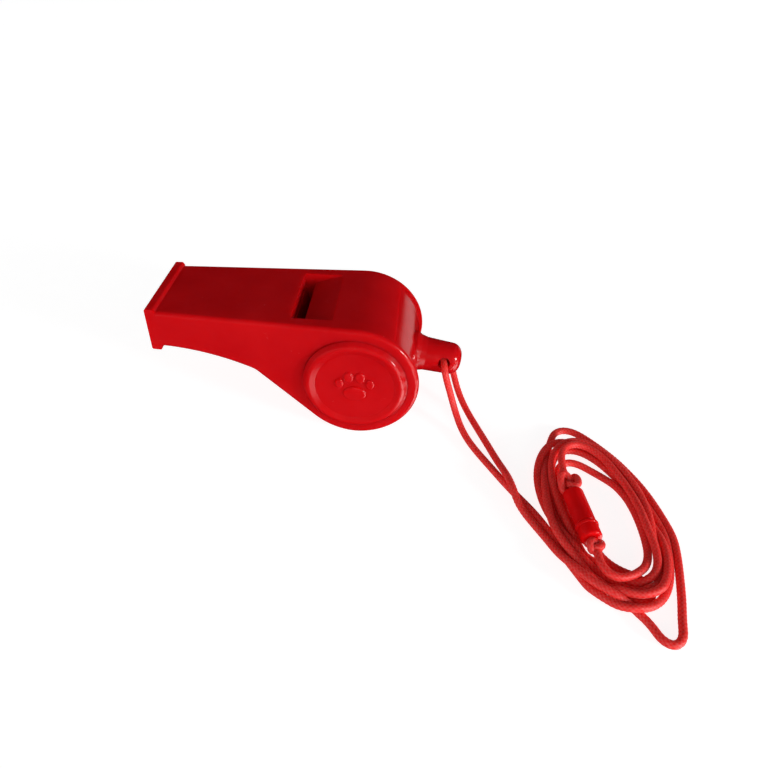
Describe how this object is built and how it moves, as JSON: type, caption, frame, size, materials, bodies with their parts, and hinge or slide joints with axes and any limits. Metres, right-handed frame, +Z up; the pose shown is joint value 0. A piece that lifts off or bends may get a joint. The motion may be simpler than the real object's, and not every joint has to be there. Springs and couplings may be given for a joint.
{
  "type": "training whistle",
  "caption": "Moulded pea whistle with a lipped mouthpiece, round chamber, lanyard lug and a coiled braided neck cord with a pull-apart clasp.",
  "frame": {"origin": "on the surface that the whistle stands on, under the middle of its length and width without the cord", "axes": "+X from the mouth to the lanyard lug, +Z up through the flat top, -Y towards the glued side cap"},
  "size_m": [0.0837, 0.0582, 0.0217],
  "materials": {
    "red_plastic": "glossy moulded, slightly translucent red",
    "clasp_plastic": "glossy moulded red",
    "red_cord": "braided polyester with a silky sheen",
    "pea_cork": "matt pressed cork"
  },
  "bodies": {
    "whistle": {"whistle_body": "red_plastic", "side_cap": "red_plastic", "cord_near_strand": "red_cord", "cord_far_strand": "red_cord", "cord_coil": "red_cord", "cord_socket_tail": "red_cord", "cord_plug_tail": "red_cord", "clasp_socket": "clasp_plastic", "socket_knot": "red_cord"},
    "pea": {"pea": "pea_cork"},
    "clasp_plug": {"clasp_plug": "clasp_plastic", "plug_knot": "red_cord"}
  },
  "joints": [
    {"name": "pea_orbit", "type": "hinge", "parent": "whistle", "child": "pea", "pos_m": [0.0082, 0, 0.0106], "axis": [0, 1, 0], "continuous": true},
    {"name": "clasp_pull", "type": "slide", "parent": "whistle", "child": "clasp_plug", "axis": [0.1736, -0.9848, 0], "range_m": [0, 0.0032], "deforming": ["cord_plug_tail"]}
  ]
}
